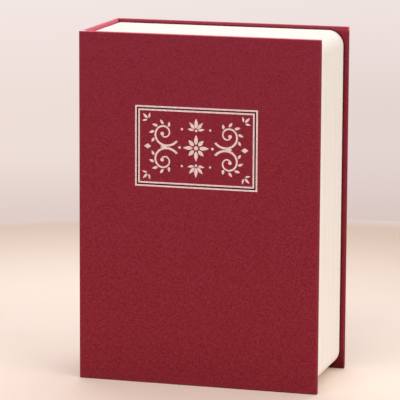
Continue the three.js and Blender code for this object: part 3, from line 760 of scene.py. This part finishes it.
def zinc_material():
    shader = Shader("zinc")
    spangle = shader.cells(shader.place, spangle_scale)["Color"]
    share = shader.split(spangle)[0]
    stretched = shader.vector("MULTIPLY", shader.place, scratch_stretch)
    scratches = shader.noise(stretched, *scratch_noise)
    return shader.finish(
        Base_Color=shader.blend(share, zinc_dark, zinc_grey),
        Metallic=1.0,
        Roughness=shader.between(scratches, 0.26, 0.5),
        Normal=shader.bump(scratches, 0.01 * MM),
    )


def chrome_material():
    shader = Shader("chrome")
    smudge = shader.noise(shader.place, *smudge_noise)
    return shader.finish(
        Base_Color=shader.blend(smudge, chrome_smudged, chrome_grey),
        Metallic=1.0,
        Roughness=shader.remap(smudge, 0.4, 0.7, 0.07, 0.2),
        Normal=shader.bump(smudge, 0.004 * MM),
    )


def brass_material(axis):
    """Turned brass: fine rings round the lock's axis."""
    shader = Shader("brass")
    x, _, z = shader.split(shader.place)[:3]
    dx = shader.math("SUBTRACT", x, axis.x / MM)
    dz = shader.math("SUBTRACT", z, axis.z / MM)
    radius = shader.math("SQRT", shader.math("MULTIPLY_ADD", dx, dx, shader.times(dz, dz)))
    rings = shader.noise(shader.join(radius, 0.0, 0.0), *ring_noise)
    stain = shader.noise(shader.place, *stain_noise)
    return shader.finish(
        Base_Color=shader.blend(shader.remap(stain, 0.4, 0.7), brass_yellow, brass_stained),
        Metallic=1.0,
        Roughness=shader.between(rings, 0.2, 0.42),
        Normal=shader.bump(rings, 0.012 * MM),
    )


# Cloth, board by board

front_low, front_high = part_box("front_cloth")
case_low, case_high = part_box("case_cloth")
spine_low, spine_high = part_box("spine_board")
back_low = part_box("back_board")[0]
front_low.x = case_low.x
wrap = front_high.y - front_low.y
cloth = front_high.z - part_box("front_board")[1].z


def board_cutter(node):
    return slab(f"cut_{node}", *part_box(node), 0)


def window_cutter(name, board, inner_y, depth):
    """The opening that the turned-in cloth leaves on the inner side of a board."""
    low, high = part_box(board)
    y0, y1 = sorted((inner_y, inner_y + depth))
    corner_low = (low.x, y0, turn_in)
    corner_high = (high.x + cloth - turn_in, y1, high.z + cloth - turn_in)
    return slab(name, corner_low, corner_high, 0)


def front_cloth(stamps):
    inner_y = front_high.y

    def at_joint(place):
        return abs(place.x - front_low.x) < near and abs(place.y - inner_y) < near

    piece = slab("front_cover_cloth", front_low, front_high, board_edge_radius, at_joint)
    window = window_cutter("window", "front_board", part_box("front_board")[1].y, 2 * cloth)
    combine(piece, "DIFFERENCE", [board_cutter("front_board"), window])
    combine(piece, "DIFFERENCE", stamps, overlapping=True)
    smooth(piece)
    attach(piece, "front_cover")
    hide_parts("front_cloth")
    return piece


def case_cloth():
    """Back cover and spine in one, with a shallow groove at the back joint."""
    back_inner_y = case_high.y - wrap
    spine_y0 = spine_low.y - cloth
    spine_y1 = spine_high.y + cloth

    def at_back_joint(place):
        return abs(place.x - case_low.x) < near and abs(place.y - back_inner_y) < near

    def at_spine_ends(place):
        return abs(place.x - case_low.x) < near and place.z > near and place.z < case_high.z - near

    back = slab(
        "case_book_cloth",
        (case_low.x, back_inner_y, case_low.z),
        case_high,
        board_edge_radius,
        at_back_joint,
    )
    spine = slab(
        "spine_wrap",
        (case_low.x, spine_y0, case_low.z),
        (case_low.x + wrap, spine_y1, case_high.z),
        board_edge_radius,
        at_spine_ends,
    )
    seam_low = (case_low.x + joint_crease, spine_y1 - cloth, case_low.z + cloth)
    seam_high = (case_low.x + cloth, back_inner_y + cloth, case_high.z - cloth)
    seam = slab("seam", seam_low, seam_high, 0)
    combine(back, "UNION", [spine, seam])
    back_window = window_cutter("back_window", "back_board", back_low.y, -2 * cloth)
    spine_window = slab(
        "spine_window",
        (spine_high.x, spine_low.y, turn_in),
        (spine_high.x + 2 * cloth, spine_high.y, case_high.z - turn_in),
        0,
    )
    boards = [board_cutter("back_board"), board_cutter("spine_board")]
    combine(back, "DIFFERENCE", [*boards, back_window, spine_window])
    smooth(back)
    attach(back, "case")
    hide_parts("case_cloth")
    return back


def joint_strip():
    """The cloth that bends at the front joint, from the spine's edge to the front cover's."""
    start_y = spine_low.y - cloth
    end_y = front_high.y
    outer = []
    inner = []
    for i in range(joint_steps + 1):
        share = i / joint_steps
        y = start_y + (end_y - start_y) * share
        dip = joint_crease * math.sin(math.pi * share)
        outer.append((case_low.x + dip, y))
        inner.append((case_low.x + joint_cloth, y))
    outline = outer + inner[::-1]
    levels = spaced(case_low.z + cloth, case_high.z - cloth, sheet_step)
    strip = lofted("joint_cloth", [[(x, y, z) for x, y in outline] for z in levels])
    shade(strip, 50)
    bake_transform(strip)
    return strip


# Front endpaper, over the turned-in cloth


def front_endpaper():
    low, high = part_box("front_pastedown")
    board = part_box("front_board")
    window_x = board[1].x + cloth - turn_in
    window_z = (turn_in, board[1].z + cloth - turn_in)
    cloth_y = front_high.y

    def inside(x, z):
        reach = min(window_x - x, z - window_z[0], window_z[1] - z)
        return ramp(reach, -turn_in_slope / 2, turn_in_slope / 2)

    def top(x, z):
        return high.y - turn_in_dip * inside(x, z)

    def bottom(x, z):
        sunk = x < window_x and window_z[0] < z < window_z[1]
        return low.y if sunk else cloth_y

    xs = graded(low.x, high.x, sheet_step, [window_x], turn_in_slope)
    zs = graded(low.z, high.z, sheet_step, window_z, turn_in_slope)
    sheet = relief_sheet("front_endpaper", xs, zs, top, bottom)
    shade(sheet, sharp_degrees)
    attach(sheet, "front_cover")
    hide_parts("front_pastedown")
    return sheet


# Page block: the moulding with finer page edges


def quarter_arc(x, z, radius, start, steps):
    """A quarter of a circle round a place in X and Z, from a direction in degrees."""
    turns = [math.radians(start + 90 * i / steps) for i in range(steps + 1)]
    return [(x + radius * math.cos(turn), z + radius * math.sin(turn)) for turn in turns]


def page_outline(rect, radius):
    """Corners at the spine are square, those at the fore-edge round."""
    left, right, tail, head = rect
    lower = quarter_arc(right - radius, tail + radius, radius, -90, page_corner_steps)
    lit_head = quarter_arc(right - radius, head - radius, radius, 0, page_corner_steps)
    return [(left, tail), *lower, *lit_head, (left, head)]


def leaf_depths(low_y, high_y, rng):
    """Pairs of Y and depth for the ridges of the page edges."""
    start = low_y + smooth_band
    foot_y = high_y - foot_height
    end = foot_y - smooth_band
    count = round((end - start) / leaf_pitch)
    pitch = (end - start) / count
    rows = [(low_y, 0.0)]
    for i in range(count):
        section = i % section_leaves == section_leaves - 1
        depth = section_groove if section else leaf_groove + leaf_groove_spread * rng.random()
        rows.append((start + i * pitch, depth))
        rows.append((start + (i + 0.5) * pitch, leaf_unevenness * rng.random()))
    rows.append((end, leaf_groove))
    rows.append((end + leaf_pitch / 2, 0.0))
    rows.append((foot_y, 0.0))
    rows.append((foot_y + foot_slope, foot_depth))
    rows.append((high_y, foot_depth))
    return rows


def page_block():
    low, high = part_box("page_block")
    rng = random.Random(leaf_seed)
    rings = []
    for y, depth in leaf_depths(low.y, high.y, rng):
        rect = (low.x, high.x - depth, low.z + depth, high.z - depth)
        rings.append([(x, y, z) for x, z in page_outline(rect, page_corner_radius - depth)])
    block = lofted("page_block_fine", rings)
    inset = page_core_inset
    core_rect = (low.x + inset, high.x - inset, low.z + inset, high.z - inset)
    core_ring = page_outline(core_rect, page_corner_radius - inset)
    air_y = (low.y + cut_spare, high.y + cut_spare)
    air = lofted("air", [[(x, y, z) for x, z in core_ring] for y in air_y])
    moulding = frame["nodes"]["page_block"].copy()
    moulding.data = moulding.data.copy()
    moulding.parent = None
    bpy.context.scene.collection.objects.link(moulding)
    weld(moulding)
    combine(air, "DIFFERENCE", [moulding])
    tray_low, tray_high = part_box("steel_tray")
    grow = Vector((tray_clearance, 0, tray_clearance))
    window_low = Vector((tray_low.x, low.y - cut_spare, tray_low.z)) - grow
    window_high = Vector((tray_high.x, low.y + rim_depth, tray_high.z)) + grow
    window = rounded_window("window", window_low, window_high, tray_bend + tray_clearance)
    combine(block, "DIFFERENCE", [air, window])
    smooth(block, 50)
    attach(block, "case")
    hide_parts("page_block")
    return block


def rounded_window(name, low, high, radius):
    points = []
    corners = (
        (180, low.x + radius, low.z + radius),
        (270, high.x - radius, low.z + radius),
        (0, high.x - radius, high.z - radius),
        (90, low.x + radius, high.z - radius),
    )
    for start, x, z in corners:
        points += quarter_arc(x, z, radius, start, tray_bend_steps)
    return lofted(name, [[(x, y, z) for x, z in points] for y in (low.y, high.y)])


# Title frame and ornament, as outlines in X and Z round the frame's middle, in millimetres

leaf_steps = 7
leaf_belly = 0.8
dot_steps = 12

scroll_middle = (16.6, 7.0)
scroll_radius = 7.6
scroll_tightness = 0.186
scroll_start = -150
scroll_turn = 490
scroll_steps = 48
scroll_width = 1.15
scroll_end_width = 0.6
bud_shift = (-0.3, 0.2)
bud_radius = 0.95

# Leaves along the scroll, each as its place in degrees and its length
scroll_leaves = ((-26, 2.6), (10, 3.0), (46, 3.2), (84, 3.0), (126, 2.6))
scroll_leaf_lift = 0.9
scroll_leaf_lean = 32
scroll_leaf_width = 1.4

# Leaves of a palmette, each as its turn and its share of the size
palmette_leaves = ((0, 1.0), (40, 0.86), (-40, 0.86), (80, 0.68), (-80, 0.68))
palmette_gap = 0.2
palmette_leaf_width = 0.36
palmette_size = 5.2
palmette_rise = 8.9
palmette_dot = 0.7
sprig_leaves = ((0, 1.0), (56, 0.8), (-56, 0.8))
sprig_place = (24.9, 13.6)
sprig_size = 3.6

petals = 8
petal_start = 1.6
petal_lengths = (5.2, 4.0)
petal_width = 2.0
flower_heart = 1.1

# Dots as place and radius, lozenges as place on the middle line and half sizes
upper_dot = (7.4, 9.4, 0.6)
side_dot = (8.6, 0.7)
side_lozenges = ((25.4, 1.9, 1.3), (17.2, 1.7, 0.9))


def rectangle(half_width, half_height):
    return [
        (-half_width, -half_height),
        (half_width, -half_height),
        (half_width, half_height),
        (-half_width, half_height),
    ]


def frame_rules():
    """Outer and inner outline of each of the two rules."""
    rules = []
    width = rule_width / MM
    for i in range(2):
        half_width = frame_width / MM / 2 - i * rule_step / MM
        half_height = frame_height / MM / 2 - i * rule_step / MM
        inner = rectangle(half_width - width, half_height - width)
        rules.append((rectangle(half_width, half_height), inner))
    return rules


def leaf(x, z, degrees, length, width):
    """A pointed leaf that grows from a point in a direction."""
    cosine = math.cos(math.radians(degrees))
    sine = math.sin(math.radians(degrees))
    sides = []
    for side in (1, -1):
        places = range(leaf_steps + 1) if side > 0 else range(leaf_steps - 1, 0, -1)
        for i in places:
            share = i / leaf_steps
            along = length * share
            out = side * width / 2 * math.sin(math.pi * share ** leaf_belly)
            sides.append((x + along * cosine - out * sine, z + along * sine + out * cosine))
    return sides


def disc(x, z, radius, steps=16):
    turns = [2 * math.pi * i / steps for i in range(steps)]
    return [(x + radius * math.cos(turn), z + radius * math.sin(turn)) for turn in turns]


def lozenge(x, z, half_width, half_height):
    return [(x - half_width, z), (x, z - half_height), (x + half_width, z), (x, z + half_height)]


def scroll_point(degrees, grow=0.0):
    turned = math.radians(degrees - scroll_start)
    radius = scroll_radius * math.exp(-scroll_tightness * turned) + grow
    angle = math.radians(degrees)
    return scroll_middle[0] + radius * math.cos(angle), scroll_middle[1] + radius * math.sin(angle)


def scroll():
    outer = []
    inner = []
    for i in range(scroll_steps + 1):
        share = i / scroll_steps
        degrees = scroll_start + scroll_turn * share
        half = (scroll_width + (scroll_end_width - scroll_width) * share) / 2
        outer.append(scroll_point(degrees, half))
        inner.append(scroll_point(degrees, -half))
    return outer + inner[::-1]


def palmette(x, z, degrees, size, leaves):
    """Leaves that fan out from one point."""
    shapes = []
    for spread, share in leaves:
        turn = math.radians(degrees + spread)
        start = palmette_gap * size
        foot = (x + start * math.cos(turn), z + start * math.sin(turn))
        width = palmette_leaf_width * size * share
        shapes.append(leaf(*foot, degrees + spread, size * share, width))
    return shapes


def quarter_ornament():
    """The upper right quarter: a scroll with its leaves, and a sprig in the corner."""
    shapes = [scroll()]
    end = scroll_point(scroll_start + scroll_turn)
    shapes.append(disc(end[0] + bud_shift[0], end[1] + bud_shift[1], bud_radius))
    for degrees, length in scroll_leaves:
        foot = scroll_point(degrees, scroll_leaf_lift)
        shapes.append(leaf(*foot, degrees - scroll_leaf_lean, length, scroll_leaf_width))
    shapes.extend(palmette(*sprig_place, 45, sprig_size, sprig_leaves))
    shapes.append(disc(*upper_dot, dot_steps))
    return shapes


def ornament():
    """The quarter mirrored both ways, a middle flower, and what stands on the middle lines."""
    shapes = []
    for outline in quarter_ornament():
        for side in (1, -1):
            for rise in (1, -1):
                mirrored = [(side * x, rise * z) for x, z in outline]
                shapes.append(mirrored if side * rise > 0 else mirrored[::-1])
    for i in range(petals):
        degrees = 360 / petals * i
        turn = math.radians(degrees)
        foot = (petal_start * math.cos(turn), petal_start * math.sin(turn))
        shapes.append(leaf(*foot, degrees, petal_lengths[i % 2], petal_width))
    shapes.append(disc(0, 0, flower_heart))
    for side in (1, -1):
        for place, half_width, half_height in side_lozenges:
            shapes.append(lozenge(side * place, 0, half_width, half_height))
        shapes.append(disc(side * side_dot[0], 0, side_dot[1], dot_steps))
        shapes.extend(palmette(0, side * palmette_rise, side * 90, palmette_size, palmette_leaves))
        shapes.append(disc(0, side * palmette_rise, palmette_dot, dot_steps))
    return shapes


def stamped(outline, y0, y1):
    """An outline of the stamp as two rings at two depths."""
    return [
        [(frame_middle_x + x * MM, y, frame_middle_z + z * MM) for x, z in outline]
        for y in (y0, y1)
    ]


def prisms(name, outlines, y0, y1):
    vertices = []
    faces = []
    for outline in outlines:
        first = len(vertices)
        count = len(outline)
        rings = stamped(outline, y0, y1)
        vertices += rings[0] + rings[1]
        faces.append(tuple(first + i for i in range(count)))
        faces.append(tuple(first + count + i for i in range(count - 1, -1, -1)))
        for i in range(count):
            j = (i + 1) % count
            faces.append((first + j, first + i, first + count + i, first + count + j))
    piece = mesh_object(name, vertices, faces)
    outward(piece)
    return piece


def ring_prisms(name, rings, y0, y1):
    vertices = []
    faces = []
    for outer, inner in rings:
        first = len(vertices)
        count = len(outer)
        for outline in (outer, inner):
            for ring in stamped(outline, y0, y1):
                vertices += ring
        for i in range(count):
            j = (i + 1) % count
            outer_front, outer_back, inner_front, inner_back = (first + k * count for k in range(4))
            faces.append((outer_front + i, outer_front + j, inner_front + j, inner_front + i))
            faces.append((outer_back + i, inner_back + i, inner_back + j, outer_back + j))
            faces.append((outer_front + i, outer_back + i, outer_back + j, outer_front + j))
            faces.append((inner_front + i, inner_front + j, inner_back + j, inner_back + i))
    piece = mesh_object(name, vertices, faces)
    outward(piece)
    return piece


def foil_pieces(material):
    """Foil on the floor of the stamp: the two rules, and the ornament cut from a thin slab."""
    floor_y = front_low.y + stamp_depth
    face_y = front_low.y + foil_below
    rules = ring_prisms("title_frame_foil", frame_rules(), face_y, floor_y)
    reach_x = frame_width / 2 - rule_step
    reach_z = frame_height / 2 - rule_step
    motif = slab(
        "ornament_foil",
        (frame_middle_x - reach_x, face_y, frame_middle_z - reach_z),
        (frame_middle_x + reach_x, floor_y, frame_middle_z + reach_z),
        0,
    )
    stamp = prisms("stamp", ornament(), face_y - cut_spare, floor_y + cut_spare)
    combine(motif, "INTERSECT", [stamp], overlapping=True)
    for piece in (rules, motif):
        piece.data.materials.append(material)
        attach(piece, "front_cover")


def stamp_cutters():
    floor_y = front_low.y + stamp_depth
    open_y = front_low.y - cut_spare
    return [
        ring_prisms("rule_stamp", frame_rules(), open_y, floor_y),
        prisms("ornament_stamp", ornament(), open_y, floor_y),
    ]


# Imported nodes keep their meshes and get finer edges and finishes


def dress(node, material):
    piece = frame["nodes"][node]
    piece.data.materials.clear()
    piece.data.materials.append(material)
    if piece.hide_render:
        return
    weld_step = piece.modifiers.new("weld", "WELD")
    weld_step.merge_threshold = weld_distance
    flat = piece.modifiers.new("flat", "DECIMATE")
    flat.decimate_type = "DISSOLVE"
    flat.angle_limit = math.radians(flat_degrees)
    soft = piece.modifiers.new("edge", "BEVEL")
    soft.width = node_edge
    soft.segments = node_edge_segments
    soft.limit_method = "ANGLE"
    soft.angle_limit = math.radians(sharp_degrees)
    smooth(piece, sharp_degrees)


def dress_nodes(materials):
    for entry in frame["record"]["subparts"]:
        dress(entry["node"], materials[entry["material_slot"]])


# Stage


def table_material():
    """Pale and a little uneven, with a painted light falloff that darkens it away from a place left
    of the middle, and the wall's colour at its rim."""
    shader = Shader("table")
    x, y, _ = shader.split(shader.place)[:3]
    deep = shader.times(y, y)
    radius = shader.math("SQRT", shader.math("MULTIPLY_ADD", x, x, deep))
    shifted = shader.math("ADD", x, falloff_lean / MM)
    distance = shader.math("SQRT", shader.math("MULTIPLY_ADD", shifted, shifted, deep))
    grain = shader.noise(shader.place, *table_noise)
    near_colour = shader.blend(grain, table_grain, table_colour)
    # Painted light falloff, darker away from a place left of the middle
    away = shader.remap(distance, falloff_start / MM, table_reach / MM)
    colour = shader.blend(away, near_colour, table_painted_falloff)
    fade = shader.remap(radius, (table_reach - table_fade) / MM, table_reach / MM)
    return shader.finish(
        Base_Color=shader.blend(fade, colour, table_rim),
        Roughness=0.9,
        Specular_IOR_Level=0.1,
    )


def table():
    rim = [(x, y, 0) for x, y in disc(0, 0, table_reach, table_steps)]
    top = mesh_object("table_top", rim, [tuple(range(table_steps))])
    top.data.materials.append(table_material())


# Steps of the wall's painted light and shade, each as a direction, the ends along it, a colour and
# its share
wall_steps = (
    ((math.cos(camera_yaw), math.sin(camera_yaw), 0), (-0.06, 0.07), wall_right, 0.8),
    ((0, 0, 1), (-0.15, -0.09), wall_high, 0.8),
    ((0, 0, -1), (0.155, 0.185), wall_low, 0.45),
)


def wall_tone(tree):
    """The wall's colour by direction, as painted light and shade: darker to the right and near the
    table, paler further up.
    """
    colour = wall_left
    for axis, ends, further, most in wall_steps:
        along = tree.vector("DOT_PRODUCT", tree.coordinates["Generated"], axis)
        colour = tree.blend(tree.remap(along, *ends, 0.0, most), colour, further)
    return colour


def background(tree, colour, strength):
    node = tree.nodes.new("ShaderNodeBackground")
    tree.feed(node.inputs["Color"], colour)
    node.inputs["Strength"].default_value = strength
    return node.outputs[0]


def surroundings():
    """The wall's colour for what is seen or mirrored, and soft white light for the rest."""
    world = bpy.data.worlds.new("surroundings")
    bpy.context.scene.world = world
    tree = Tree(world)
    rays = tree.nodes.new("ShaderNodeLightPath").outputs
    mirrored = tree.math("MAXIMUM", rays["Is Camera Ray"], rays["Is Glossy Ray"])
    shown = tree.math("MAXIMUM", mirrored, rays["Is Transmission Ray"])
    mix = tree.nodes.new("ShaderNodeMixShader")
    tree.feed(mix.inputs[0], shown)
    tree.feed(mix.inputs[1], background(tree, linear(lamp_white), sky_strength))
    tree.feed(mix.inputs[2], background(tree, wall_tone(tree), 1.0))
    tree.feed(tree.nodes["World Output"].inputs["Surface"], mix.outputs[0])


def lamp(name, place, size, power, colour):
    data = bpy.data.lights.new(name, "AREA")
    data.shape = "DISK"
    data.size = size
    data.energy = power
    data.color = linear(colour)[:3]
    light = bpy.data.objects.new(name, data)
    light.location = place
    light.rotation_mode = "QUATERNION"
    light.rotation_quaternion = (Vector(lamp_aim) - Vector(place)).to_track_quat("-Z", "Y")
    bpy.context.scene.collection.objects.link(light)


def lamps():
    lamp("key", *key_lamp, lamp_white)
    lamp("fill", *fill_lamp, lamp_white)
    lamp("back", *back_lamp, lamp_cool)


def camera():
    heading = Matrix.Rotation(camera_yaw, 4, "Z")
    tilt = Matrix.Rotation(math.pi / 2 - camera_pitch, 4, "X")
    roll = Matrix.Rotation(camera_roll, 4, "Z")
    data = bpy.data.cameras.new("camera")
    data.sensor_fit = "HORIZONTAL"
    data.angle = camera_angle
    data.clip_start = 0.05
    data.clip_end = 20
    view = bpy.data.objects.new("camera", data)
    view.matrix_world = Matrix.Translation(camera_place) @ heading @ tilt @ roll
    bpy.context.scene.collection.objects.link(view)
    bpy.context.scene.camera = view


def build():
    camera()
    table()
    surroundings()
    lamps()
    foil = foil_material()
    # The front cloth takes a pressed band, darkened with painted shade, between the title rules
    front_red = cloth_material("front_cloth", front_low, front_high, pressed_and_shaded_band)
    # The case cloth takes painted shade beside the page block and towards the tail
    case_red = cloth_material("case_cloth", case_low, case_high, painted_shade_by_pages)
    front = front_cloth(stamp_cutters())
    front.data.materials.append(front_red)
    case_cloth().data.materials.append(case_red)
    joint_strip().data.materials.append(case_red)
    foil_pieces(foil)
    paper = paper_material()
    front_endpaper().data.materials.append(paper)
    pages = pages_material()
    page_block().data.materials.append(pages)
    lock_low, lock_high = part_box("lock_plug")
    materials = {
        "cloth": case_red,
        "board": board_material(),
        "paper": paper,
        "pages": pages,
        "powder_coat": coat_material(),
        "zinc": zinc_material(),
        "chrome": chrome_material(),
        "brass": brass_material((lock_low + lock_high) / 2),
    }
    dress_nodes(materials)


build()
bpy.context.scene.view_settings.view_transform = "Standard"
